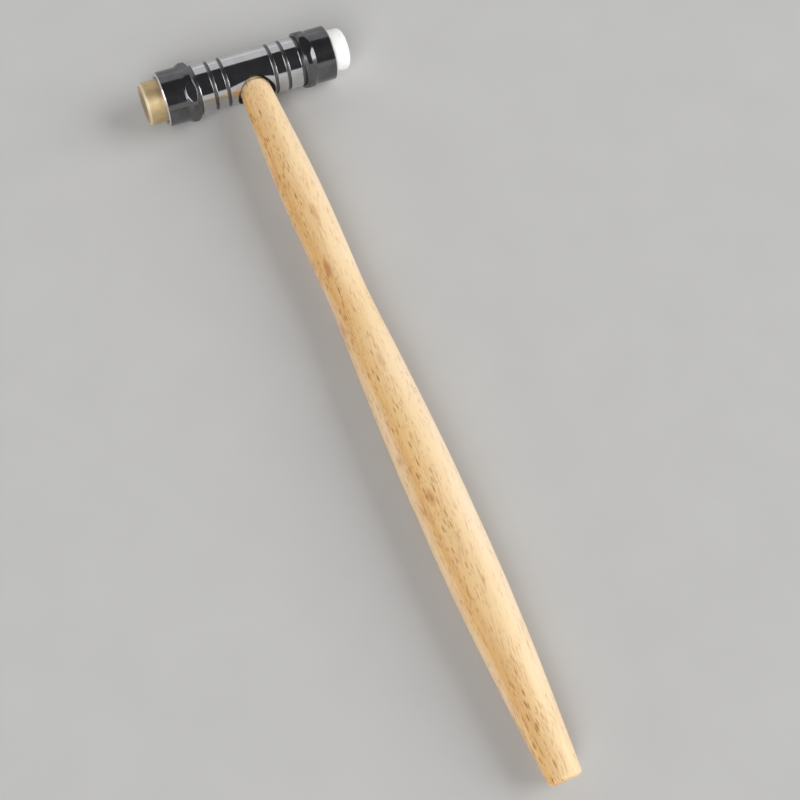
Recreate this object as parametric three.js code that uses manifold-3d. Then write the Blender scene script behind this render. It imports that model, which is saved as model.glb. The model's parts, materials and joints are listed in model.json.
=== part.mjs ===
// A watchmaker's hammer: steel barrel, brass face and nylon face held by union nuts, and a beech handle.
// It lies on a bench: +X runs along the head towards the nylon face, -Y along the handle, +Z is up.
// Lengths are in millimetres. The head's own frame has its origin where the head axis crosses its middle.
import * as THREE from 'three';
import { mergeVertices } from 'three/addons/utils/BufferGeometryUtils.js';
import Module from 'manifold-3d';

const wasm = await Module();
wasm.setup();

// Barrel. Positions along the head axis are counted from its middle, and the two ends are alike.
const BARREL_RADIUS = 8.0;
const BARREL_SHOULDER = 16.7;      // where the full radius ends
const EDGE_BREAK = 0.25;           // small chamfer on turned edges
const REGISTER_RADIUS = 7.65;      // plain step that the nut's skirt slides over
const REGISTER_END = 18.8;
const SPIGOT_RADIUS = 6.9;         // the threaded spigot, crest radius
const SPIGOT_END = 24.4;
const GROOVE_CENTRES = [7.9, 12.08];
const GROOVE_HALF_WIDTH = 0.55;
const GROOVE_DEPTH = 0.5;
const GROOVE_WALL = 0.12;          // how far each groove wall leans

// Eye and handle. Distances along the handle are counted from the head axis towards the butt.
const EYE_OFFSET = 0.9;            // the eye sits this far towards the nylon face
const EYE_RADIUS = 4.5;
const SEAT_RADIUS = 6.3;           // counterbore that the handle's shoulder sits in
const SEAT_FLOOR = 4.4;            // head axis to the floor of the counterbore
const TENON_RADIUS = 4.2;
const TENON_END = 8.6;             // how far the tenon reaches past the head axis before it is dressed
const DRESSED_RADIUS = 7.9;        // the tenon and wedges are dressed to this curve about the head axis
const SHOULDER = 4.7;              // head axis to the handle's rounded shoulder
const SHOULDER_ROUND = 1.3;
const HANDLE_LENGTH = 235.0;       // head axis to the butt face
const BUTT_ROUND = 1.2;            // edge radius of the butt
const HANDLE_STATIONS = [          // distance and radius of the turned profile
  [6, 4.95], [9, 5.12], [13, 5.3], [17, 5.42],
  [31, 6.07], [45, 6.46], [56, 6.48], [70, 6.28], [82, 6.04], [94, 6.31], [107, 6.87],
  [124, 7.45], [141, 7.86], [158, 7.92], [177, 7.76], [193, 7.24], [209, 6.44], [224, 5.47], [233.8, 4.78],
];

// Wedges in the tenon's end. Each is thick at the tenon's end and thin inside.
const WEDGE_GAP = 0.15;
const WOOD_WEDGE = { depth: 12.5, thick: 1.8, tip: 0.6, width: 8.2 };
const STEEL_WEDGE = { depth: 6.5, thick: 1.0, tip: 0.3, width: 6.0 };

// Union nuts.
const NUT_REAR = 17.7;
const NUT_REAR_RADIUS = 8.75;
const NUT_CREST_RADIUS = 9.35;     // the hexagon's corners are turned down to this radius
const NUT_CREST = [18.45, 20.0];   // where the full crest starts and ends
const NUT_NOSE_START = 21.5;
const NUT_NOSE_RADIUS = 8.6;
const NUT_FRONT = 28.1;
const NUT_RIM = [8.0, 8.35];       // inner and outer radius of the flat rim round the opening
const NUT_MOUTH_START = 27.2;      // the rim's inner bevel ends here, at the mouth
const NUT_MOUTH_RADIUS = 6.86;
const NUT_LIP_BACK = 26.4;
const NUT_POCKET = { radius: 7.76, start: 24.0 };
const NUT_BORE_RADIUS = 7.06;
const NUT_SKIRT = { radius: 7.86, end: 19.4 };
const HEXAGON_APOTHEM = 8.8;
const BRASS_NUT_TURN = 5.7;        // degrees from +Z towards -Y to one corner of the hexagon
const NYLON_NUT_TURN = 38.7;

// Striking faces: a flanged slug that the nut's lip holds against the spigot.
const FACE_BACK = 24.7;
const FACE_FLANGE = { radius: 7.6, end: 26.1 };
const FACE_RADIUS = 6.7;
const FACE_END = 33.6;
const BRASS_CHAMFER = 0.7;
const NYLON_ROUND = 1.8;

const TURNED_SIDES = 40;
const HANDLE_SIDES = 32;

const FINISHES = {
  barrel_steel: { color: 0xb4b4b4, roughness: 0.12, metalness: 1 },
  dark_steel: { color: 0x4a4a4c, roughness: 0.16, metalness: 1 },
  brass: { color: 0xc8a86e, roughness: 0.32, metalness: 1 },
  nylon: { color: 0xf6f6f4, roughness: 0.42, metalness: 0 },
  beech: { color: 0xe6bf88, roughness: 0.5, metalness: 0 },
  wedge_wood: { color: 0x8a5a34, roughness: 0.6, metalness: 0 },
  wedge_steel: { color: 0x77797c, roughness: 0.4, metalness: 1 },
};

function makeMesh(name, geometry, finish) {
  const mesh = new THREE.Mesh(geometry, new THREE.MeshStandardMaterial(FINISHES[finish]));
  mesh.name = name;
  return mesh;
}

function toSolid(geometry) {
  const bare = geometry.clone();
  bare.deleteAttribute('normal');
  bare.deleteAttribute('uv');
  const merged = mergeVertices(bare, 1e-4);
  return new wasm.Manifold(new wasm.Mesh({
    numProp: 3,
    vertProperties: new Float32Array(merged.attributes.position.array),
    triVerts: new Uint32Array(merged.index.array),
  }));
}

function toGeometry(solid) {
  const mesh = solid.getMesh();
  const geometry = new THREE.BufferGeometry();
  geometry.setAttribute('position', new THREE.BufferAttribute(new Float32Array(mesh.vertProperties), 3));
  geometry.setIndex(new THREE.BufferAttribute(new Uint32Array(mesh.triVerts), 1));
  return geometry;
}

// Turns an outline of [distance along the head axis, radius] points about the X axis.
function turnAboutX(outline) {
  const points = outline.map(([along, radius]) => new THREE.Vector2(radius, along));
  return new THREE.LatheGeometry(points, TURNED_SIDES).rotateZ(-Math.PI / 2);
}

// Points of a quarter round from a side at full radius to a flat end, not counting its two ends.
function quarterRound(end, radius, round, steps) {
  const points = [];
  for (let i = 1; i < steps; i += 1) {
    const angle = (i / steps) * Math.PI / 2;
    points.push([end - round + round * Math.sin(angle), radius - round + round * Math.cos(angle)]);
  }
  return points;
}

// One half of the barrel's outline, from its middle to the end of the spigot.
function halfBarrelOutline() {
  const outline = [];
  for (const centre of GROOVE_CENTRES) {
    const floor = BARREL_RADIUS - GROOVE_DEPTH;
    outline.push([centre - GROOVE_HALF_WIDTH, BARREL_RADIUS]);
    outline.push([centre - GROOVE_HALF_WIDTH + GROOVE_WALL, floor]);
    outline.push([centre + GROOVE_HALF_WIDTH - GROOVE_WALL, floor]);
    outline.push([centre + GROOVE_HALF_WIDTH, BARREL_RADIUS]);
  }
  outline.push([BARREL_SHOULDER - EDGE_BREAK, BARREL_RADIUS]);
  outline.push([BARREL_SHOULDER, BARREL_RADIUS - EDGE_BREAK]);
  outline.push([BARREL_SHOULDER, REGISTER_RADIUS]);
  outline.push([REGISTER_END, REGISTER_RADIUS]);
  outline.push([REGISTER_END, SPIGOT_RADIUS]);
  outline.push([SPIGOT_END - 2 * EDGE_BREAK, SPIGOT_RADIUS]);
  outline.push([SPIGOT_END, SPIGOT_RADIUS - 2 * EDGE_BREAK]);
  outline.push([SPIGOT_END, 0]);
  return outline;
}

function makeBarrel(handleTilt) {
  const half = halfBarrelOutline();
  const otherHalf = half.map(([along, radius]) => [-along, radius]).reverse();
  const turned = toSolid(turnAboutX([...otherHalf, ...half]));
  const eye = new THREE.CylinderGeometry(EYE_RADIUS, EYE_RADIUS, 4 * BARREL_RADIUS, TURNED_SIDES);
  eye.rotateX(handleTilt).translate(EYE_OFFSET, 0, 0);
  const seat = new THREE.CylinderGeometry(SEAT_RADIUS, SEAT_RADIUS, BARREL_RADIUS, TURNED_SIDES);
  seat.translate(0, -SEAT_FLOOR - BARREL_RADIUS / 2, 0).rotateX(handleTilt).translate(EYE_OFFSET, 0, 0);
  const bored = turned.subtract(toSolid(eye)).subtract(toSolid(seat));
  return makeMesh('head_barrel', toGeometry(bored), 'barrel_steel');
}

function nutOutline() {
  return [
    [NUT_REAR, NUT_SKIRT.radius],
    [NUT_REAR, NUT_REAR_RADIUS],
    [NUT_CREST[0], NUT_CREST_RADIUS],
    [NUT_CREST[1], NUT_CREST_RADIUS],
    [NUT_NOSE_START, NUT_NOSE_RADIUS],
    [NUT_FRONT - EDGE_BREAK, NUT_NOSE_RADIUS],
    [NUT_FRONT, NUT_RIM[1]],
    [NUT_FRONT, NUT_RIM[0]],
    [NUT_MOUTH_START, NUT_MOUTH_RADIUS],
    [NUT_LIP_BACK, NUT_MOUTH_RADIUS],
    [NUT_LIP_BACK, NUT_POCKET.radius],
    [NUT_POCKET.start, NUT_POCKET.radius],
    [NUT_POCKET.start, NUT_BORE_RADIUS],
    [NUT_SKIRT.end, NUT_BORE_RADIUS],
    [NUT_SKIRT.end, NUT_SKIRT.radius],
    [NUT_REAR, NUT_SKIRT.radius],
  ];
}

// A hexagonal bar along X with one corner turned the given degrees from +Z towards -Y.
function hexagonBar(turn) {
  const cornerRadius = HEXAGON_APOTHEM / Math.cos(Math.PI / 6);
  const bar = new THREE.CylinderGeometry(cornerRadius, cornerRadius, 4 * NUT_FRONT, 6);
  // CylinderGeometry starts with a corner on +Z, which a quarter turn about Z leaves there.
  return bar.rotateZ(-Math.PI / 2).rotateX(THREE.MathUtils.degToRad(turn));
}

// End +1 is the nylon end and end -1 the brass end, which is the same shape turned about Z.
function placeAtEnd(geometry, end) {
  return end > 0 ? geometry : geometry.rotateZ(Math.PI);
}

function makeNut(name, end, turn) {
  const turned = toSolid(placeAtEnd(turnAboutX(nutOutline()), end));
  const hexagon = toSolid(hexagonBar(turn));
  return makeMesh(name, toGeometry(turned.intersect(hexagon)), 'dark_steel');
}

function faceOutline(edge) {
  return [
    [FACE_BACK, 0],
    [FACE_BACK, FACE_FLANGE.radius - EDGE_BREAK],
    [FACE_BACK + EDGE_BREAK, FACE_FLANGE.radius],
    [FACE_FLANGE.end, FACE_FLANGE.radius],
    [FACE_FLANGE.end, FACE_RADIUS],
    ...edge,
    [FACE_END, 0],
  ];
}

function makeBrassFace() {
  const edge = [[FACE_END - BRASS_CHAMFER, FACE_RADIUS], [FACE_END, FACE_RADIUS - BRASS_CHAMFER]];
  return makeMesh('brass_face', placeAtEnd(turnAboutX(faceOutline(edge)), -1), 'brass');
}

function makeNylonFace() {
  const edge = [
    [FACE_END - NYLON_ROUND, FACE_RADIUS],
    ...quarterRound(FACE_END, FACE_RADIUS, NYLON_ROUND, 5),
    [FACE_END, FACE_RADIUS - NYLON_ROUND],
  ];
  return makeMesh('nylon_face', placeAtEnd(turnAboutX(faceOutline(edge)), 1), 'nylon');
}

// The rounded shoulder, as [distance, radius] points from the tenon to the start of the turned profile.
function shoulderRound() {
  const inner = HANDLE_STATIONS[0][1] - SHOULDER_ROUND;
  const first = Math.asin((TENON_RADIUS - inner) / SHOULDER_ROUND);
  const points = [];
  for (let i = 0; i < 4; i += 1) {
    const angle = first + (i / 4) * (Math.PI / 2 - first);
    const along = SHOULDER + SHOULDER_ROUND * (1 - Math.cos(angle));
    points.push([along, inner + SHOULDER_ROUND * Math.sin(angle)]);
  }
  return points;
}

// The turned profile's smooth stretch, as [distance, radius] points from the shoulder to the butt's edge.
function handleProfile() {
  const curve = new THREE.SplineCurve(HANDLE_STATIONS.map(([along, radius]) => new THREE.Vector2(along, radius)));
  return curve.getPoints(2 * (HANDLE_STATIONS.length - 1)).map((point) => [point.x, point.y]);
}

// A wedge along Y with its thick end at the tenon's end; its thickness is along Z, its width along X.
function wedgeGeometry({ depth, thick, tip, width }, gap) {
  const top = TENON_END + (gap > 0 ? 1 : 0);
  const bottom = TENON_END - depth - gap;
  const slope = (thick - tip) / depth;
  const halfTop = thick / 2 + gap + (slope / 2) * (top - TENON_END);
  const halfTip = tip / 2 + gap;
  const shape = new THREE.Shape([
    new THREE.Vector2(-halfTop, top),
    new THREE.Vector2(-halfTip, bottom),
    new THREE.Vector2(halfTip, bottom),
    new THREE.Vector2(halfTop, top),
  ]);
  const length = width + 2 * gap;
  const bar = new THREE.ExtrudeGeometry(shape, { depth: length, bevelEnabled: false });
  return bar.translate(0, 0, -length / 2).rotateY(Math.PI / 2);
}

// The steel wedge stands across the wooden one.
function steelWedgeGeometry(gap) {
  return wedgeGeometry(STEEL_WEDGE, gap).rotateY(Math.PI / 2);
}

// All that would stand proud of the barrel on the far side from the handle.
function proudOfBarrel() {
  const size = 4 * BARREL_RADIUS;
  const block = new THREE.BoxGeometry(size, size, size).translate(0, size / 2, 0);
  const curve = new THREE.CylinderGeometry(DRESSED_RADIUS, DRESSED_RADIUS, 2 * size, TURNED_SIDES);
  return toSolid(block).subtract(toSolid(curve.rotateZ(Math.PI / 2)));
}

function makeHandle() {
  const endEdge = 2 * EDGE_BREAK;
  const buttRadius = HANDLE_STATIONS.at(-1)[1];
  const outline = [
    [-TENON_END, 0],
    [-TENON_END, TENON_RADIUS - endEdge],
    [-TENON_END + endEdge, TENON_RADIUS],
    ...shoulderRound(),
    ...handleProfile(),
    ...quarterRound(HANDLE_LENGTH, buttRadius, BUTT_ROUND, 4),
    [HANDLE_LENGTH, buttRadius - BUTT_ROUND],
    [HANDLE_LENGTH, 0],
  ];
  const points = outline.map(([along, radius]) => new THREE.Vector2(radius, -along)).reverse();
  const turned = toSolid(new THREE.LatheGeometry(points, HANDLE_SIDES));
  const kerf = toSolid(wedgeGeometry({ ...WOOD_WEDGE, width: 4 * TENON_RADIUS }, WEDGE_GAP));
  const slot = toSolid(steelWedgeGeometry(WEDGE_GAP));
  const wedged = turned.subtract(kerf).subtract(slot);
  return makeMesh('handle', toGeometry(wedged.subtract(proudOfBarrel())), 'beech');
}

function makeWoodenWedge() {
  const core = new THREE.CylinderGeometry(TENON_RADIUS, TENON_RADIUS, 4 * TENON_END, HANDLE_SIDES);
  const wedge = toSolid(wedgeGeometry(WOOD_WEDGE, 0)).intersect(toSolid(core));
  const slot = toSolid(steelWedgeGeometry(WEDGE_GAP));
  return makeMesh('wooden_wedge', toGeometry(wedge.subtract(slot).subtract(proudOfBarrel())), 'wedge_wood');
}

function makeSteelWedge() {
  const wedge = toSolid(steelWedgeGeometry(0));
  return makeMesh('steel_wedge', toGeometry(wedge.subtract(proudOfBarrel())), 'wedge_steel');
}

// The tool rests on its nuts and on the belly of the handle, so the handle dips by this angle.
function restingTilt() {
  const dips = handleProfile()
    .filter(([along]) => along > HANDLE_LENGTH / 2)
    .map(([along, radius]) => Math.asin((NUT_CREST_RADIUS - radius) / along));
  return Math.min(...dips);
}

const handleTilt = restingTilt();

const handleGroup = new THREE.Group();
handleGroup.position.x = EYE_OFFSET;
handleGroup.rotation.x = handleTilt;
handleGroup.add(makeHandle(), makeWoodenWedge(), makeSteelWedge());

const hammer = new THREE.Group();
hammer.add(
  makeBarrel(handleTilt),
  makeNut('brass_collar', -1, BRASS_NUT_TURN),
  makeNut('nylon_collar', 1, NYLON_NUT_TURN),
  makeBrassFace(),
  makeNylonFace(),
  handleGroup,
);

// The origin is on the bench, under the middle of the tool's bounding box.
hammer.updateMatrixWorld(true);
const bounds = new THREE.Box3().setFromObject(hammer, true);
const middle = bounds.getCenter(new THREE.Vector3());
hammer.position.set(-middle.x, -middle.y, -bounds.min.z);
hammer.updateMatrixWorld(true);

export default hammer;
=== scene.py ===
"""A watchmaker's hammer: steel barrel, brass and nylon faces in dark union nuts, and a turned beech handle.

Outlines are in millimetres, as lists of (distance along the axis, radius, corner rounding). Every mesh is put
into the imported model's frame, in metres, so a piece sits where its CAD node is.
"""

import json
import math

import bmesh
import bpy
from mathutils import Matrix, Vector


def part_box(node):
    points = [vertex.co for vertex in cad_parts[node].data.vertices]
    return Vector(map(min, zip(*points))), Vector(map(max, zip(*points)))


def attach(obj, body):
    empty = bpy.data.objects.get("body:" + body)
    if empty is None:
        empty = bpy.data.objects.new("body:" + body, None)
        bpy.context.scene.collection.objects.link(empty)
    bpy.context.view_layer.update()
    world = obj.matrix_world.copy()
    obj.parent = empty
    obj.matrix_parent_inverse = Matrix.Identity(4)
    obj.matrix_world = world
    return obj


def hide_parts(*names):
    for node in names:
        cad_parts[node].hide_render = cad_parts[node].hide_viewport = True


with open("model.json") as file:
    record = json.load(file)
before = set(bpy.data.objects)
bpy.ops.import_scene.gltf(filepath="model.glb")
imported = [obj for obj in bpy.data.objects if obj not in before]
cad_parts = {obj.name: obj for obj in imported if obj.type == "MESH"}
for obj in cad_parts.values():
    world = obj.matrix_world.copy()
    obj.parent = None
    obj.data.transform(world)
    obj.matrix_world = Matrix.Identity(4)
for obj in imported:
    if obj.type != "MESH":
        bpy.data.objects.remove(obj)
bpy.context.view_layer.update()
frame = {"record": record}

MM = 0.001
TAU = 2 * math.pi

# Where the head axis and the handle lie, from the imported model.
face_low, face_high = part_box("brass_face")
HEAD = Vector((0, (face_low.y + face_high.y) / 2, (face_low.z + face_high.z) / 2))
MOUNTS = {mount["name"]: mount for mount in frame["record"]["mounts"]}
BUTT = Vector(MOUNTS["handle_butt"]["pos_m"])
HANDLE_TILT = math.asin(-MOUNTS["handle_butt"]["axis"][2])
EYE_OFFSET = BUTT.x / MM
BOX_MARGIN = 0.01                  # keeps the butt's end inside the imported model's box
HANDLE_LENGTH = (BUTT - HEAD - Vector((BUTT.x, 0, 0))).length / MM - BOX_MARGIN

# Barrel.
BARREL_RADIUS = 8.0
BARREL_SHOULDER = 16.7
REGISTER_RADIUS = 7.65
REGISTER_END = 18.8
SPIGOT_RADIUS = 6.9
SPIGOT_END = 24.4
GROOVE_CENTRES = (7.9, 12.08)
GROOVE_HALF_WIDTH = 0.55
GROOVE_DEPTH = 0.5
GROOVE_LEAN = 0.12                 # how far each wall of a groove leans in
EYE_RADIUS = 4.5
SEAT_RADIUS = 6.3
SEAT_FLOOR = 4.4
EYE_EASE = 0.12

# Threads. The crest and the two flanks are shares of the pitch.
PITCH = 1.0
THREAD_DEPTH = 0.55
CREST_SHARE = 0.14
FLANK_SHARE = 0.7

# Union nuts, from the rear to the mouth: the outside first, then the bore.
NUT_REAR = 17.7
NUT_REAR_RADIUS = 8.72
COLLAR_START = 18.42
COLLAR_END = 20.0
COLLAR_RADIUS = 9.345
HEXAGON_APOTHEM = 8.8
HEXAGON_INSIDE = 8.3               # the hexagon is cut only outside this radius
NUT_NOSE_START = 21.5
NUT_NOSE_RADIUS = 8.6
NUT_FRONT = 28.1
NUT_CHAMFER = 0.4
SKIRT_BORE = 7.86
NUT_BORE = 6.98
NUT_THREAD_START = 19.4
NUT_THREAD_END = 24.0
NUT_THREAD_DEPTH = 0.8 * THREAD_DEPTH
FLANGE_BORE = 7.76
LIP_BACK = 26.4
LIP_FRONT = 27.2
LIP_RADIUS = 6.86
MOUTH_RADIUS = 8.0
NUT_TURNS = {-1: 5.7, 1: 38.7}     # degrees from +Z towards -Y to one corner, at the brass and nylon ends

# Striking faces.
FACE_BACK = 24.7
FLANGE_RADIUS = 7.6
FLANGE_FRONT = 26.1
FACE_RADIUS = 6.7
FACE_END = 33.6
BRASS_CHAMFER = (0.72, 0.66)       # along the axis and across it
NYLON_ROUND = 1.9

# Handle: distance from the head axis and radius of the turned profile.
TENON_END = 8.6
TENON_RADIUS = 4.2
DRESSED_RADIUS = 7.88
SHOULDER = 4.72
SHOULDER_ROUND = 1.3
HANDLE_STATIONS = (
    (6, 4.95), (9, 5.12), (13, 5.3), (17, 5.42), (31, 6.07), (45, 6.46), (56, 6.48), (70, 6.28),
    (82, 6.04), (94, 6.31), (107, 6.87), (124, 7.45), (141, 7.86), (158, 7.9), (177, 7.76),
    (193, 7.24), (209, 6.44), (224, 5.47), (233.8, 4.78),
)
PROFILE_STEP = 0.9
BUTT_ROUND = 1.2

# Wedges in the tenon's end, and the gaps that the kerf and the cross slot keep round them.
WOOD_WEDGE = dict(depth=12.5, thick=1.9, tip=0.6, width=8.1, across=False)
STEEL_WEDGE = dict(depth=6.5, thick=1.0, tip=0.3, width=6.0, across=True)
KERF_WIDTH = 20
KERF_GAP = 0.05
SLOT_GAP = 0.04


# ---------------------------------------------------------------- mesh helpers

def rounded(corners, closed=False, steps=4):
    """Outline points, with each corner (along, radius, rounding) made an arc between two support points."""
    support = 1.3                      # how far out the support points stand, in arc reaches
    points = []
    count = len(corners)
    for index, (along, radius, rounding) in enumerate(corners):
        here = Vector((along, radius))
        if rounding == 0 or (not closed and index in (0, count - 1)):
            points.append(here)
            continue
        before = Vector(corners[index - 1][:2])
        after = Vector(corners[(index + 1) % count][:2])
        back = (before - here).normalized()
        ahead = (after - here).normalized()
        half = back.angle(ahead) / 2
        reach = rounding / math.tan(half)
        centre = here + (back + ahead).normalized() * rounding / math.sin(half)
        points.append(here + back * reach * support)
        first = here + back * reach - centre
        last = here + ahead * reach - centre
        sweep = first.angle_signed(last)
        for step in range(steps + 1):
            spoke = first.copy()
            spoke.rotate(Matrix.Rotation(-sweep * step / steps, 2))
            points.append(centre + spoke)
        points.append(here + ahead * reach * support)
    return points


def densified(points, step, low, high, outside=0.0):
    """The outline with extra points, at most a step apart, between low and high along the axis.

    Stretches nearer the axis than the radius called outside are left as they are.
    """
    result = []
    for first, second in zip(points, points[1:]):
        result.append(first)
        inside = low <= min(first.x, second.x) and max(first.x, second.x) <= high
        if not inside or min(first.y, second.y) < outside:
            continue
        count = math.ceil((second - first).length / step)
        result.extend(first.lerp(second, part / count) for part in range(1, count))
    result.append(points[-1])
    return result


def turned_mesh(name, outline, sides, end=1, closed=False, radius_at=None):
    """A mesh turned about the head axis, towards the chosen end. radius_at may change a point's radius."""
    mesh_data = bmesh.new()
    rings = []
    for along, radius in outline:
        if radius < 1e-6:
            rings.append([mesh_data.verts.new((end * along, 0, 0))])
            continue
        ring = []
        for side in range(sides):
            angle = TAU * side / sides
            reach = radius_at(along, radius, angle) if radius_at else radius
            ring.append(mesh_data.verts.new((end * along, -reach * math.sin(angle), reach * math.cos(angle))))
        rings.append(ring)
    pairs = list(zip(rings, rings[1:]))
    if closed:
        pairs.append((rings[-1], rings[0]))
    for near, far in pairs:
        for side in range(sides):
            following = (side + 1) % sides
            corners = [near[side % len(near)], near[following % len(near)],
                       far[following % len(far)], far[side % len(far)]]
            distinct = list(dict.fromkeys(corners))
            if len(distinct) > 2:
                mesh_data.faces.new(distinct)
    bmesh.ops.recalc_face_normals(mesh_data, faces=mesh_data.faces)
    return finish_mesh(name, mesh_data)


def finish_mesh(name, mesh_data):
    mesh = bpy.data.meshes.new(name)
    mesh_data.to_mesh(mesh)
    mesh_data.free()
    piece = bpy.data.objects.new(name, mesh)
    bpy.context.scene.collection.objects.link(piece)
    return piece


def shade(piece, angle=32):
    mesh = piece.data
    mesh.polygons.foreach_set("use_smooth", [True] * len(mesh.polygons))
    mesh.set_sharp_from_angle(angle=math.radians(angle))


def place(piece, matrix=Matrix.Identity(4)):
    """Moves a millimetre mesh of the head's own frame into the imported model's frame."""
    piece.data.transform(Matrix.Translation(HEAD) @ Matrix.Scale(MM, 4) @ matrix)
    piece.data.update()


def cut(piece, cutter):
    """Takes the cutter's shape out of the piece, and removes the cutter."""
    modifier = piece.modifiers.new("cut", "BOOLEAN")
    modifier.operation = "DIFFERENCE"
    modifier.solver = "EXACT"
    modifier.object = cutter
    with bpy.context.temp_override(object=piece, active_object=piece):
        bpy.ops.object.modifier_apply(modifier="cut")
    bpy.data.objects.remove(cutter)


def smooth_least(first, second, blend):
    """The smaller of two lengths, with the crease between them rounded."""
    gap = max(blend - abs(first - second), 0) / blend
    return min(first, second) - gap * gap * blend / 4


def thread_depth(along, angle, end, start, stop):
    """How deep, from 0 at a crest to 1 at a root, a right-hand thread is cut at a point of the surface."""
    phase = (along / PITCH - end * angle / TAU) % 1.0
    flank = min(max((abs(phase - 0.5) * 2 - CREST_SHARE) / FLANK_SHARE, 0), 1)
    fade = min(max((along - start) / PITCH, 0), 1) * min(max((stop - along) / (0.5 * PITCH), 0), 1)
    return flank * fade


# ---------------------------------------------------------------- the head's pieces

def barrel_half():
    """Corners of one half of the barrel, from its middle outwards."""
    corners = []
    floor = BARREL_RADIUS - GROOVE_DEPTH
    for centre in GROOVE_CENTRES:
        corners.append((centre - GROOVE_HALF_WIDTH, BARREL_RADIUS, 0.1))
        corners.append((centre - GROOVE_HALF_WIDTH + GROOVE_LEAN, floor, 0.15))
        corners.append((centre + GROOVE_HALF_WIDTH - GROOVE_LEAN, floor, 0.15))
        corners.append((centre + GROOVE_HALF_WIDTH, BARREL_RADIUS, 0.1))
    corners.append((BARREL_SHOULDER, BARREL_RADIUS, 0.22))
    corners.append((BARREL_SHOULDER, REGISTER_RADIUS, 0.08))
    corners.append((REGISTER_END, REGISTER_RADIUS, 0.12))
    corners.append((REGISTER_END, SPIGOT_RADIUS, 0.08))
    chamfer = 0.5
    corners.append((SPIGOT_END - chamfer, SPIGOT_RADIUS, 0.1))
    corners.append((SPIGOT_END, SPIGOT_RADIUS - chamfer, 0.1))
    corners.append((SPIGOT_END, 0, 0))
    return corners


def make_barrel():
    half = barrel_half()
    other_half = [(-along, radius, rounding) for along, radius, rounding in reversed(half)]
    outline = rounded(other_half + half)
    step = PITCH / 14
    outline = densified(outline, step, REGISTER_END, SPIGOT_END, 0.1)
    outline = densified(outline, step, -SPIGOT_END, -REGISTER_END, 0.1)

    def radius_at(along, radius, angle):
        end = 1 if along > 0 else -1
        reach = abs(along)
        if reach < REGISTER_END or radius < SPIGOT_RADIUS - THREAD_DEPTH:
            return radius
        depth = THREAD_DEPTH * thread_depth(reach, angle, end, REGISTER_END, SPIGOT_END)
        return min(radius, SPIGOT_RADIUS - depth)

    barrel = turned_mesh("barrel", outline, 200, radius_at=radius_at)
    cut(barrel, eye_cutter())
    ease_eye(barrel)
    shade(barrel)
    place(barrel)
    return barrel


def eye_cutter():
    """The drill for the eye, with the counterbore for the handle's shoulder, through the whole barrel."""
    reach = 12
    seat = [(-reach, 0), (-reach, SEAT_RADIUS), (-SEAT_FLOOR, SEAT_RADIUS)]
    drill = [(-SEAT_FLOOR, EYE_RADIUS), (reach, EYE_RADIUS), (reach, 0)]
    eye = turned_mesh("eye", seat + drill, 180)
    eye.data.transform(handle_matrix() @ Matrix.Rotation(math.pi / 2, 4, "Z"))
    return eye


def ease_eye(barrel):
    """Breaks the sharp edge round both mouths of the eye."""
    mesh_data = bmesh.new()
    mesh_data.from_mesh(barrel.data)
    sharp = [
        edge for edge in mesh_data.edges
        if len(edge.link_faces) == 2 and edge.calc_face_angle() > math.radians(35)
        and max(abs(vert.co.x - EYE_OFFSET) for vert in edge.verts) < SEAT_RADIUS + 0.04
    ]
    bmesh.ops.bevel(
        mesh_data, geom=sharp, offset=EYE_EASE, segments=3, profile=0.5, affect="EDGES", clamp_overlap=True)
    mesh_data.to_mesh(barrel.data)
    mesh_data.free()


def make_nut(end):
    corners = [
        (NUT_REAR, SKIRT_BORE, 0.1), (NUT_REAR, NUT_REAR_RADIUS, 0.12),
        (COLLAR_START, COLLAR_RADIUS, 0.1), (COLLAR_END, COLLAR_RADIUS, 0.1),
        (NUT_NOSE_START, NUT_NOSE_RADIUS, 0.25), (NUT_FRONT - NUT_CHAMFER, NUT_NOSE_RADIUS, 0.1),
        (NUT_FRONT, NUT_NOSE_RADIUS - NUT_CHAMFER, 0.06), (NUT_FRONT, MOUTH_RADIUS, 0.06),
        (LIP_FRONT, LIP_RADIUS, 0.08), (LIP_BACK, LIP_RADIUS, 0.05), (LIP_BACK, FLANGE_BORE, 0.1),
        (NUT_THREAD_END, FLANGE_BORE, 0.1), (NUT_THREAD_END, NUT_BORE, 0.1),
        (NUT_THREAD_START, NUT_BORE, 0.1), (NUT_THREAD_START, SKIRT_BORE, 0.1),
    ]
    outline = rounded(corners, closed=True)
    outline = densified(outline, 0.09, NUT_REAR - 0.01, NUT_NOSE_START + 0.4, HEXAGON_INSIDE)
    outline = densified(outline, PITCH / 12, NUT_THREAD_START, NUT_THREAD_END, NUT_BORE - 0.01)
    turn = math.radians(NUT_TURNS[end])

    def radius_at(along, radius, angle):
        if radius > HEXAGON_INSIDE:
            off_flat = (angle - turn) % (math.pi / 3) - math.pi / 6
            return smooth_least(radius, HEXAGON_APOTHEM / math.cos(off_flat), 0.06)
        if radius < NUT_BORE + 0.02 and NUT_THREAD_START < along < NUT_THREAD_END:
            depth = thread_depth(along, angle, end, NUT_THREAD_START, NUT_THREAD_END)
            return radius + NUT_THREAD_DEPTH * depth
        return radius

    nut = turned_mesh("brass_nut" if end < 0 else "nylon_nut", outline, 360, end, True, radius_at)
    shade(nut, 24)
    place(nut)
    return nut


def slug_corners(*edge):
    """A flanged slug whose front edge is made of the given corners."""
    return [
        (FACE_BACK, 0, 0), (FACE_BACK, FLANGE_RADIUS, 0.2),
        (FLANGE_FRONT, FLANGE_RADIUS, 0.15), (FLANGE_FRONT, FACE_RADIUS, 0.1),
        *edge, (FACE_END, 0, 0),
    ]


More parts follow.
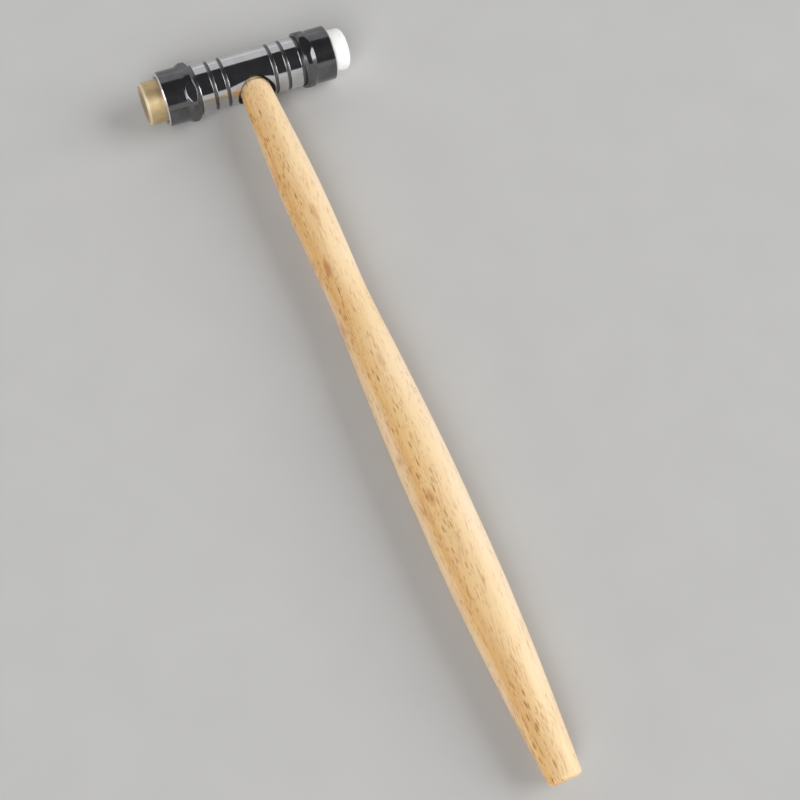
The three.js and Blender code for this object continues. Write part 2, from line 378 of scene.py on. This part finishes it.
def make_brass_slug():
    length, depth = BRASS_CHAMFER
    corners = slug_corners((FACE_END - length, FACE_RADIUS, 0.14), (FACE_END, FACE_RADIUS - depth, 0.12))
    outline = densified(rounded(corners), 0.5, FACE_END - 0.001, FACE_END + 0.001)
    slug = turned_mesh("brass_slug", outline, 200, -1)
    shade(slug)
    place(slug)
    return slug


def make_nylon_slug():
    corners = slug_corners((FACE_END, FACE_RADIUS, NYLON_ROUND))
    slug = turned_mesh("nylon_slug", rounded(corners, steps=14), 160, 1)
    shade(slug)
    place(slug)
    return slug


# ---------------------------------------------------------------- the handle and its wedges

def handle_matrix():
    """From the handle's own frame, with the butt along -Y, to the head's frame."""
    return Matrix.Translation((EYE_OFFSET, 0, 0)) @ Matrix.Rotation(HANDLE_TILT, 4, "X")


def profile_radius(distance):
    """The turned profile between its stations, as a smooth cubic."""
    stations = HANDLE_STATIONS
    index = 0
    while index < len(stations) - 2 and distance > stations[index + 1][0]:
        index += 1
    (start, low), (stop, high) = stations[index], stations[index + 1]

    def slope(at):
        before, after = stations[max(at - 1, 0)], stations[min(at + 1, len(stations) - 1)]
        return (after[1] - before[1]) / (after[0] - before[0])

    span = stop - start
    part = (distance - start) / span
    return (
        low * (1 + 2 * part) * (1 - part) ** 2 + slope(index) * span * part * (1 - part) ** 2
        + high * part * part * (3 - 2 * part) + slope(index + 1) * span * part * part * (part - 1)
    )


def wedge(name, depth, thick, tip, width, across, gap=0.0):
    """A wedge in the tenon's end, thick at the end. across turns its width from X to Z.

    With a gap, it is the larger cutter for the slot that the wedge stands in.
    """
    top = TENON_END + (1 if gap else 0)
    bottom = TENON_END - depth - gap
    half_top = thick / 2 + gap + (thick - tip) / depth / 2 * (top - TENON_END)
    half_tip = tip / 2 + gap
    mesh_data = bmesh.new()
    profile = [(-half_top, top), (-half_tip, bottom), (half_tip, bottom), (half_top, top)]
    sides = []
    for reach in (-width / 2 - gap, width / 2 + gap):
        if across:
            sides.append([mesh_data.verts.new((off, along, reach)) for off, along in profile])
        else:
            sides.append([mesh_data.verts.new((reach, along, off)) for off, along in profile])
    mesh_data.faces.new(sides[0])
    mesh_data.faces.new(reversed(sides[1]))
    for corner in range(4):
        following = (corner + 1) % 4
        mesh_data.faces.new((sides[0][corner], sides[1][corner], sides[1][following], sides[0][following]))
    bmesh.ops.recalc_face_normals(mesh_data, faces=mesh_data.faces)
    if not gap:
        bmesh.ops.bevel(mesh_data, geom=mesh_data.edges, offset=0.06, segments=2, affect="EDGES")
    return finish_mesh(name, mesh_data)


def shoulder_points(steps=12):
    """The rounded shoulder, from where it leaves the tenon to where the turned profile starts."""
    inner = HANDLE_STATIONS[0][1] - SHOULDER_ROUND
    first = math.asin((TENON_RADIUS - inner) / SHOULDER_ROUND)
    angles = [first + (math.pi / 2 - first) * step / steps for step in range(steps)]
    return [Vector((
        SHOULDER + SHOULDER_ROUND * (1 - math.cos(angle)), inner + SHOULDER_ROUND * math.sin(angle),
    )) for angle in angles]


def proud_of_barrel():
    """All that would stand proud of the barrel on the far side from the handle."""
    size = 4 * BARREL_RADIUS
    mesh_data = bmesh.new()
    bmesh.ops.create_cube(mesh_data, size=size, matrix=Matrix.Translation((0, size / 2, 0)))
    block = finish_mesh("block", mesh_data)
    outline = [(-size, 0), (-size, DRESSED_RADIUS), (size, DRESSED_RADIUS), (size, 0)]
    cut(block, turned_mesh("curve", outline, 240))
    return block


def butt_points(steps=10):
    """The rounded edge of the butt."""
    last = HANDLE_STATIONS[-1][1]
    angles = [step / steps * math.pi / 2 for step in range(steps + 1)]
    return [Vector((
        HANDLE_LENGTH - BUTT_ROUND + BUTT_ROUND * math.sin(angle),
        last - BUTT_ROUND + BUTT_ROUND * math.cos(angle),
    )) for angle in angles]


def make_handle():
    start = HANDLE_STATIONS[0][0]
    count = int((HANDLE_LENGTH - BUTT_ROUND - start) / PROFILE_STEP)
    distances = [start + PROFILE_STEP * step for step in range(count)]
    outline = [Vector((-TENON_END, 0)), Vector((-TENON_END, TENON_RADIUS))]
    outline += shoulder_points()
    outline += [Vector((distance, profile_radius(distance))) for distance in distances]
    outline += butt_points()
    outline.append(Vector((HANDLE_LENGTH, 0)))
    handle = turned_mesh("turned_handle", outline, 180)
    handle.data.transform(Matrix.Rotation(-math.pi / 2, 4, "Z"))
    cut(handle, wedge("kerf", **{**WOOD_WEDGE, "width": KERF_WIDTH}, gap=KERF_GAP))
    cut(handle, wedge("slot", **STEEL_WEDGE, gap=SLOT_GAP))
    cut(handle, proud_of_barrel())
    shade(handle, 38)
    place(handle, handle_matrix())
    return handle


def make_wooden_wedge():
    piece = wedge("kerf_wedge", **WOOD_WEDGE)
    cut(piece, wedge("slot", **STEEL_WEDGE, gap=SLOT_GAP))
    cut(piece, proud_of_barrel())
    shade(piece, 30)
    place(piece, handle_matrix())
    return piece


def make_steel_wedge():
    piece = wedge("cross_wedge", **STEEL_WEDGE)
    cut(piece, proud_of_barrel())
    shade(piece, 30)
    place(piece, handle_matrix())
    return piece


# ---------------------------------------------------------------- materials

GRAIN_TURN = (0, 0.43, 0)          # from the section's X and Z to the tangential and radial directions
LEAN = (0, 0.43, 0.1)              # the same, for grain lines that run a little off the handle's axis
GRAIN_WANDER = 6.0                 # how far the wood's zones stray across the grain, in millimetres
# pinkish tint of the painted sheen on both edges of the handle
EDGE_SHEEN_TINT = (1.0, 0.86, 0.76)
# painted shade: the dark tone of the barrel's grooves, seat and thread
PAINTED_SHADE_STEEL = (0.17, 0.17, 0.175)
DULL_ROUGHNESS = 0.34
# painted highlight on the nuts' front rims
RIM_HIGHLIGHT_METAL = (0.72, 0.71, 0.69)
# painted dark reflection in the middle of the brass face
DARK_REFLECTION_BRASS = (0.44, 0.35, 0.22)
# painted highlight on the brass chamfer
CHAMFER_HIGHLIGHT_BRASS = (0.93, 0.80, 0.55)


class Shader:
    """A small helper that adds nodes to one material and links them."""

    def __init__(self, name):
        self.material = bpy.data.materials.new(name)
        self.material.use_nodes = True
        self.tree = self.material.node_tree
        self.surface = self.tree.nodes["Principled BSDF"]

    def node(self, kind, inputs=None, **settings):
        made = self.tree.nodes.new(kind)
        for name, value in settings.items():
            setattr(made, name, value)
        for name, value in (inputs or {}).items():
            self.feed(made.inputs[name], value)
        return made

    def feed(self, socket, value):
        if isinstance(value, bpy.types.NodeSocket):
            self.tree.links.new(value, socket)
        else:
            socket.default_value = value

    def math(self, operation, first, second=0.0):
        return self.node("ShaderNodeMath", {0: first, 1: second}, operation=operation).outputs[0]

    def times(self, first, second):
        return self.math("MULTIPLY", first, second)

    def fade(self, value, start, stop, first=0.0, last=1.0):
        """A number that goes from first to last while the value goes from start to stop."""
        made = self.node("ShaderNodeMapRange", {
            "Value": value, "From Min": start, "From Max": stop, "To Min": first, "To Max": last})
        return made.outputs[0]

    def millimetres(self, scale=(1, 1, 1), turn=(0, 0, 0)):
        """Object coordinates in millimetres, turned and then scaled."""
        place_node = self.node("ShaderNodeTexCoord").outputs["Object"]
        turned = self.node("ShaderNodeMapping", {
            "Vector": place_node, "Rotation": turn, "Scale": (1000, 1000, 1000)})
        return self.node("ShaderNodeMapping", {"Vector": turned.outputs[0], "Scale": scale}).outputs[0]

    def moved(self, vector, offset):
        return self.node("ShaderNodeVectorMath", {0: vector, 1: offset}, operation="ADD").outputs[0]

    def part(self, vector, index):
        return self.node("ShaderNodeSeparateXYZ", {"Vector": vector}).outputs[index]

    def noise(self, vector, scale=1.0, detail=2.0, roughness=0.5, distortion=0.0, output="Fac"):
        made = self.node("ShaderNodeTexNoise", {
            "Vector": vector, "Scale": scale, "Detail": detail, "Roughness": roughness,
            "Distortion": distortion})
        return made.outputs[output]

    def cells(self, vector):
        """Scattered cells: the distance from each cell's middle, and two random numbers for each cell."""
        made = self.node("ShaderNodeTexVoronoi", {"Vector": vector, "Scale": 1.0, "Randomness": 1.0})
        chances = self.node("ShaderNodeSeparateXYZ", {"Vector": made.outputs["Color"]})
        return made.outputs["Distance"], chances.outputs[0], chances.outputs[1]

    def ramp(self, value, *stops):
        made = self.node("ShaderNodeValToRGB", {"Fac": value})
        elements = made.color_ramp.elements
        while len(elements) < len(stops):
            elements.new(0.5)
        for element, (position, colour) in zip(elements, stops):
            element.position = position
            grey = isinstance(colour, (int, float))
            element.color = (colour,) * 3 + (1,) if grey else (*colour, 1)
        return made.outputs["Color"]

    def mix(self, amount, first, second):
        made = self.node("ShaderNodeMix", data_type="RGBA")
        self.feed(made.inputs["Factor"], amount)
        for socket, value in ((made.inputs[6], first), (made.inputs[7], second)):
            self.feed(socket, (*value, 1) if isinstance(value, tuple) else value)
        return made.outputs[2]

    def bump(self, height, distance, strength=1.0, normal=None):
        inputs = {"Height": height, "Distance": distance * MM, "Strength": strength}
        if normal is not None:
            inputs["Normal"] = normal
        return self.node("ShaderNodeBump", inputs).outputs[0]

    def finished(self, **values):
        """Sets the surface's inputs and gives the material. A name's underscores stand for spaces."""
        for name, value in values.items():
            self.feed(self.surface.inputs[name.replace("_", " ")], value)
        return self.material


def head_coordinates(shader):
    """Distance along the head axis from its middle, and distance from that axis, both in millimetres."""
    centred = shader.moved(shader.millimetres(), (0, -HEAD.y / MM, -HEAD.z / MM))
    parts = shader.node("ShaderNodeSeparateXYZ", {"Vector": centred})
    squares = [shader.math("POWER", parts.outputs[index], 2) for index in (1, 2)]
    return shader.math("ABSOLUTE", parts.outputs[0]), shader.math("SQRT", shader.math("ADD", *squares))


def turned_metal(name, colour, dark_colour, roughness, line_depth, smudge,
                 metallic=1.0, rim_highlight_from=None, rough_and_shaded_below=None):
    """Metal turned on a lathe: fine rings round the head axis, and faint smudges.

    With rim_highlight_from, the last rim beyond that distance from the head's middle is a painted highlight.
    With rough_and_shaded_below, the metal nearer the head axis than that is rougher and painted darker
    as shade: grooves, seat and thread get painted shade.
    """
    shader = Shader(name)
    rings = shader.noise(shader.millimetres((14, 0.02, 0.02)), 1.0, 4.0, 0.7)
    smudges = shader.noise(shader.millimetres(), 0.22, 3.0, 0.55)
    specks = shader.noise(shader.millimetres(), 3.0, 4.0, 0.7)
    tone = shader.mix(shader.ramp(smudges, (0.35, 0.0), (0.7, 1.0)), dark_colour, colour)
    mottle = shader.math("ADD", smudges, shader.times(specks, 0.35))
    rough = shader.fade(mottle, 0.45, 0.95, roughness, roughness + smudge)
    # painted highlight: the nut's front rim is painted in a lighter metal
    if rim_highlight_from:
        ragged = shader.math("ADD", head_coordinates(shader)[0], shader.times(specks, 0.12))
        tone = shader.mix(shader.fade(ragged, rim_highlight_from, rim_highlight_from + 0.1), tone, RIM_HIGHLIGHT_METAL)
    # painted shade: grooves, seat and thread are painted darker, and made rougher
    if rough_and_shaded_below:
        shaded_recess = shader.fade(head_coordinates(shader)[1], rough_and_shaded_below, rough_and_shaded_below - 0.12)
        tone = shader.mix(shaded_recess, tone, PAINTED_SHADE_STEEL)
        rough = shader.math("MAXIMUM", rough, shader.times(shaded_recess, DULL_ROUGHNESS))
    return shader.finished(
        Base_Color=tone, Metallic=metallic, Roughness=rough, Normal=shader.bump(rings, line_depth))


def brass():
    """Satin brass: turned rings, slight tarnish, a painted dark reflection mid-face, a painted chamfer
    highlight.
    """
    shader = Shader("satin_brass")
    along, radius = head_coordinates(shader)
    apart = shader.math("SUBTRACT", along, radius)
    lines = shader.node("ShaderNodeCombineXYZ", {"X": shader.times(apart, 9.0)})
    rings = shader.noise(lines.outputs[0], 1.0, 3.0, 0.65)
    tarnish = shader.noise(shader.millimetres(), 0.35, 4.0, 0.6)
    tone = shader.ramp(
        tarnish, (0.3, (0.60, 0.46, 0.25)), (0.5, (0.67, 0.52, 0.30)), (0.72, (0.74, 0.60, 0.37)))
    # painted dark reflection: the middle of the face is painted darker
    on_face = shader.math("GREATER_THAN", along, FACE_END - 0.02)
    middle = shader.fade(radius, FACE_RADIUS - 1.5, 3.0)
    tone = shader.mix(shader.times(on_face, middle), tone, DARK_REFLECTION_BRASS)
    # painted highlight: the chamfer is painted a bright brass
    chamfer = FACE_END + FACE_RADIUS - 0.77
    chamfer_highlight = shader.fade(shader.math("ADD", along, radius), chamfer, chamfer + 0.06)
    return shader.finished(
        Base_Color=shader.mix(chamfer_highlight, tone, CHAMFER_HIGHLIGHT_BRASS), Metallic=1.0,
        Roughness=shader.fade(tarnish, 0.3, 0.7, 0.56, 0.47), Normal=shader.bump(rings, 0.02))


def nylon():
    """Turned white nylon: slightly translucent, with faint tool marks and a soft sheen."""
    shader = Shader("white_nylon")
    marks = shader.noise(shader.millimetres((9, 0.05, 0.05)), 1.0, 3.0, 0.6)
    cloud = shader.noise(shader.millimetres(), 0.5, 3.0)
    clouded = shader.ramp(cloud, (0.35, 0.0), (0.7, 1.0))
    return shader.finished(
        Base_Color=shader.mix(clouded, (0.93, 0.93, 0.925), (0.965, 0.965, 0.96)),
        Roughness=shader.fade(cloud, 0.0, 1.0, 0.32, 0.46), Normal=shader.bump(marks, 0.004, 0.8),
        Subsurface_Weight=0.35, Subsurface_Scale=2.0 * MM, Subsurface_Radius=(1.0, 0.9, 0.8))


def beech(name, light, dark, pale, fleck, spot):
    """Beech: the rays as short brown dashes, fine hairlines and a few soft spots on a warm ground.

    The grain runs along Y. GRAIN_TURN turns the section so that its X is tangential and its Z radial.
    Dashes and spots are plain in the middle of the section and faint towards both its sides.
    """
    shader = Shader(name)
    ground = beech_ground(shader, light, dark, pale)
    hairs = hairlines(shader)
    ground = shader.mix(shader.times(hairs, 0.42), ground, spot)
    flat_sawn = shader.times(across_mask(shader, 7.5, 11.5, 0.1), across_mask(shader, 4.0, 0.5, 0.3))
    ground = shader.mix(shader.times(soft_spots(shader), flat_sawn), ground, spot)
    large = ray_dashes(shader, (1.7, 0.32, 0.12), 0.5, 0.0)
    small = ray_dashes(shader, (3.0, 0.55, 0.2), 0.46, 7.0)
    dashes = shader.times(shader.math("MAXIMUM", large, shader.times(small, 0.75)), flat_sawn)
    ground = shader.mix(dashes, ground, fleck)
    pores = shader.times(shader.math("ADD", dashes, shader.times(hairs, 0.4)), -1.0)
    sanding = shader.noise(shader.millimetres((2.5, 0.6, 2.5), GRAIN_TURN), 1.0, 3.0, 0.6)
    return shader.finished(
        Base_Color=ground, Roughness=shader.fade(sanding, 0.0, 1.0, 0.38, 0.58),
        Normal=shader.bump(pores, 0.02, 0.5, shader.bump(sanding, 0.012, 0.5)),
        Coat_Weight=0.1, Coat_Roughness=0.32)


def beech_ground(shader, light, dark, pale):
    """The wood without its marks: streaks, rings, and painted light on one side, both edges and the shoulder.
    """
    broad = shader.noise(shader.millimetres((0.24, 0.018, 0.16), GRAIN_TURN), 1.0, 3.0, 0.55)
    ground = shader.ramp(broad, (0.3, dark), (0.6, light))
    streaks = shader.noise(shader.millimetres((1.5, 0.05, 1.0), GRAIN_TURN), 1.0, 3.0, 0.6, 0.3)
    ground = shader.mix(shader.times(shader.ramp(streaks, (0.42, 0.0), (0.62, 1.0)), 0.45), ground, dark)
    ground = shader.mix(shader.times(growth_rings(shader), 0.4), ground, dark)
    # painted light: the side towards the key light is painted paler, standing for its light and sheen
    ground = shader.mix(shader.times(across_mask(shader, 11.0, 4.5, 0.0), 0.85), ground, pale)
    # painted sheen: both edges of the section are painted a pinkish pale tone
    edge_sheen = blend_colours(pale, EDGE_SHEEN_TINT, 0.35)
    ground = shader.mix(across_mask(shader, 15.0, 11.5, 0.0), ground, edge_sheen)
    ground = shader.mix(shader.times(across_mask(shader, 1.2, 4.2, 0.0), 0.6), ground, edge_sheen)
    # painted light: the shoulder, shaded in its seat, is painted paler
    return shader.mix(painted_shoulder_light(shader), ground, pale)


def blend_colours(first, second, share):
    """The colour that lies the given share of the way from the first to the second."""
    return tuple((1.0 - share) * a + share * b for a, b in zip(first, second))


def across_mask(shader, start, stop, least):
    """A value across the grain: one at start, falling to the least value at stop."""
    wander = shader.noise(shader.millimetres((0.1, 0.03, 0.1), GRAIN_TURN), 1.0, 2.0)
    across = shader.part(shader.millimetres((1, 1, 1), GRAIN_TURN), 0)
    strayed = shader.math("ADD", across, shader.times(wander, GRAIN_WANDER))
    return shader.fade(strayed, start, stop, 1.0, least)


def painted_shoulder_light(shader):
    """One on the shoulder in its seat, where the wood is painted paler as light; zero down the handle."""
    along = shader.part(shader.millimetres(), 1)
    return shader.fade(along, HEAD.y / MM - 8.5, HEAD.y / MM - 6.0)


def growth_rings(shader):
    """Thin darker late wood every few millimetres along the radial direction."""
    wander = shader.noise(shader.millimetres((0.1, 0.02, 0.1), GRAIN_TURN), output="Color")
    warped = shader.moved(shader.millimetres((0.03, 0.004, 0.34), GRAIN_TURN), wander)
    saw = shader.math("FRACT", shader.part(warped, 2))
    return shader.ramp(saw, (0.0, 0.1), (0.75, 0.25), (0.93, 1.0), (1.0, 0.1))


def hairlines(shader):
    """Long fine vessel lines that run a little off the handle's axis, where a noise crosses its middle."""
    waves = shader.noise(shader.millimetres((2.0, 0.09, 0.9), LEAN), 1.0, 2.0, 0.5)
    nearness = shader.math("ABSOLUTE", shader.math("SUBTRACT", waves, 0.5))
    thin = shader.ramp(nearness, (0.012, 1.0), (0.045, 0.0))
    patches = shader.noise(shader.millimetres((0.5, 0.09, 0.5), GRAIN_TURN), 1.0, 2.0)
    return shader.times(thin, shader.ramp(patches, (0.42, 0.0), (0.6, 1.0)))


def soft_spots(shader):
    """A few soft reddish spots, each a few millimetres long."""
    distance, chance, _ = shader.cells(shader.millimetres((0.26, 0.1, 0.12), GRAIN_TURN))
    shown = shader.math("GREATER_THAN", chance, 0.76)
    return shader.times(shader.fade(distance, 0.36, 0.12, 0.0, 0.85), shown)


def ray_dashes(shader, scale, size, shift):
    """Rays as stretched cells. Some are shown, gathered in leaning chains, each with its own darkness."""
    wander = shader.noise(shader.millimetres((0.25, 0.06, 0.1), GRAIN_TURN), detail=1.0, output="Color")
    bent = shader.moved(shader.millimetres(scale, GRAIN_TURN), wander)
    distance, chance, darkness = shader.cells(shader.moved(bent, (shift, shift, 0)))
    spindle = shader.fade(distance, size, size * 0.45)
    chains = shader.noise(shader.millimetres((0.75, 0.05, 0.3), LEAN), 1.0, 2.0)
    threshold = shader.math("SUBTRACT", 1.59, shader.times(chains, 1.8))
    shown = shader.math("GREATER_THAN", chance, threshold)
    strength = shader.times(shown, shader.math("ADD", shader.times(darkness, 0.5), 0.5))
    return shader.times(spindle, strength)


# ---------------------------------------------------------------- putting the object together

def add_piece(piece, node, body, material):
    piece.data.materials.clear()
    piece.data.materials.append(material)
    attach(piece, body)
    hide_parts(node)


def add_head():
    bright = turned_metal(
        "polished_steel", (0.66, 0.66, 0.67), (0.58, 0.58, 0.59), roughness=0.07, line_depth=0.0025,
        smudge=0.06, rough_and_shaded_below=BARREL_RADIUS - 0.2)
    dark = turned_metal(
        "dark_nickel", (0.17, 0.17, 0.178), (0.13, 0.13, 0.137), roughness=0.10, line_depth=0.0009,
        smudge=0.08, metallic=0.9, rim_highlight_from=NUT_FRONT - NUT_CHAMFER)
    add_piece(make_barrel(), "head_barrel", "head_and_handle", bright)
    add_piece(make_nut(-1), "brass_collar", "brass_nut", dark)
    add_piece(make_nut(1), "nylon_collar", "nylon_nut", dark)
    add_piece(make_brass_slug(), "brass_face", "brass_slug", brass())
    add_piece(make_nylon_slug(), "nylon_face", "nylon_slug", nylon())


def add_handle():
    # in both woods, pale is the tone of their painted light and sheen
    pale_beech = beech(
        "beech", light=(0.87, 0.55, 0.215), dark=(0.70, 0.37, 0.11), pale=(0.95, 0.74, 0.45),
        fleck=(0.42, 0.165, 0.04), spot=(0.52, 0.22, 0.08))
    dark_wood = beech(
        "wedge_wood", light=(0.42, 0.24, 0.12), dark=(0.26, 0.13, 0.06), pale=(0.45, 0.28, 0.15),
        fleck=(0.1, 0.05, 0.02), spot=(0.2, 0.1, 0.05))
    wedge_steel = turned_metal(
        "wedge_steel", (0.33, 0.34, 0.35), (0.2, 0.2, 0.21), roughness=0.36, line_depth=0.01, smudge=0.15)
    add_piece(make_handle(), "handle", "head_and_handle", pale_beech)
    add_piece(make_wooden_wedge(), "wooden_wedge", "head_and_handle", dark_wood)
    add_piece(make_steel_wedge(), "steel_wedge", "head_and_handle", wedge_steel)


# ---------------------------------------------------------------- floor, light and camera

FLOOR_RADIUS = 2.5
WALL_TOP = 0.33                    # sine of the elevation where the pale walls end
WALL_EDGE = 0.03                   # how softly they end
WALL_FULL = 0.08                   # sine of the elevation from which they have their full tone


def make_floor():
    mesh_data = bmesh.new()
    bmesh.ops.create_circle(mesh_data, cap_ends=True, segments=128, radius=FLOOR_RADIUS)
    floor = finish_mesh("floor", mesh_data)
    shader = Shader("pale_floor")
    grain = shader.noise(shader.millimetres(), 0.05, 3.0)
    tone = shader.mix(grain, (0.50, 0.50, 0.50), (0.54, 0.54, 0.535))
    floor.data.materials.append(shader.finished(Base_Color=tone, Roughness=0.75))


def make_world():
    """A studio: pale low walls all round, as pale as the floor where they meet it, and dark above them."""
    world = bpy.data.worlds.new("studio")
    bpy.context.scene.world = world
    world.use_nodes = True
    tree = world.node_tree
    background = tree.nodes["Background"]
    direction = tree.nodes.new("ShaderNodeTexCoord").outputs["Generated"]
    parts = tree.nodes.new("ShaderNodeSeparateXYZ")
    ramp = tree.nodes.new("ShaderNodeValToRGB")
    tree.links.new(direction, parts.inputs[0])
    tree.links.new(parts.outputs[2], ramp.inputs[0])
    elements = ramp.color_ramp.elements
    elements[0].position, elements[0].color = 0.0, (0.6, 0.6, 0.6, 1)
    elements[1].position, elements[1].color = WALL_TOP + WALL_EDGE, (0.035, 0.035, 0.037, 1)
    for position in (WALL_FULL, WALL_TOP):
        elements.new(position).color = (0.66, 0.66, 0.66, 1)
    tree.links.new(ramp.outputs[0], background.inputs["Color"])
    background.inputs["Strength"].default_value = 1.0


def area_light(name, place_at, target, size, power, colour=(1, 1, 1)):
    light = bpy.data.lights.new(name, "AREA")
    light.shape = "RECTANGLE"
    light.size, light.size_y = size
    light.energy = power
    light.color = colour
    lamp = bpy.data.objects.new(name, light)
    lamp.location = place_at
    lamp.rotation_euler = (Vector(target) - Vector(place_at)).to_track_quat("-Z", "Y").to_euler()
    bpy.context.scene.collection.objects.link(lamp)


def make_lights():
    area_light("back_softbox", (0.25, 7.7, 6.0), HEAD, (15.0, 7.25), 219)
    area_light("key_softbox", (7.75, -2.25, 5.6), (0, 0, 0), (8.75, 7.5), 790, (1.0, 0.985, 0.965))
    area_light("fill_softbox", (-4.0, -6.25, 6.1), (0, 0, 0), (5.5, 6.0), 620)
    area_light("low_softbox", (-8.0, 0.25, 1.9), (0, 0, 0), (4.5, 2.5), 62)


# The camera's place and directions, about the head's middle, in a frame that is tilted with the handle.
CAMERA_PLACE = (-86.1, -256.4, 356.0)
CAMERA_AHEAD = (0.22600, 0.34628, -0.91050)
CAMERA_ABOVE = (0.32363, 0.85491, 0.40546)


def make_camera():
    """The camera stands over the handle's butt, turned so that the handle runs down to the right."""
    data = bpy.data.cameras.new("camera")
    data.sensor_width = 36.0
    data.lens = 61.4
    data.clip_start = 0.01
    camera = bpy.data.objects.new("camera", data)
    ahead = Vector(CAMERA_AHEAD)
    aside = ahead.cross(Vector(CAMERA_ABOVE)).normalized()
    above = aside.cross(ahead).normalized()
    turn = Matrix((aside, above, -ahead.normalized())).transposed().to_4x4()
    stand = Matrix.Translation(Vector(CAMERA_PLACE) * MM)
    camera.matrix_world = Matrix.Translation(HEAD) @ Matrix.Rotation(HANDLE_TILT, 4, "X") @ stand @ turn
    bpy.context.scene.collection.objects.link(camera)
    bpy.context.scene.camera = camera


make_camera()
add_head()
add_handle()
make_floor()
make_world()
make_lights()
bpy.context.scene.view_settings.view_transform = "Standard"
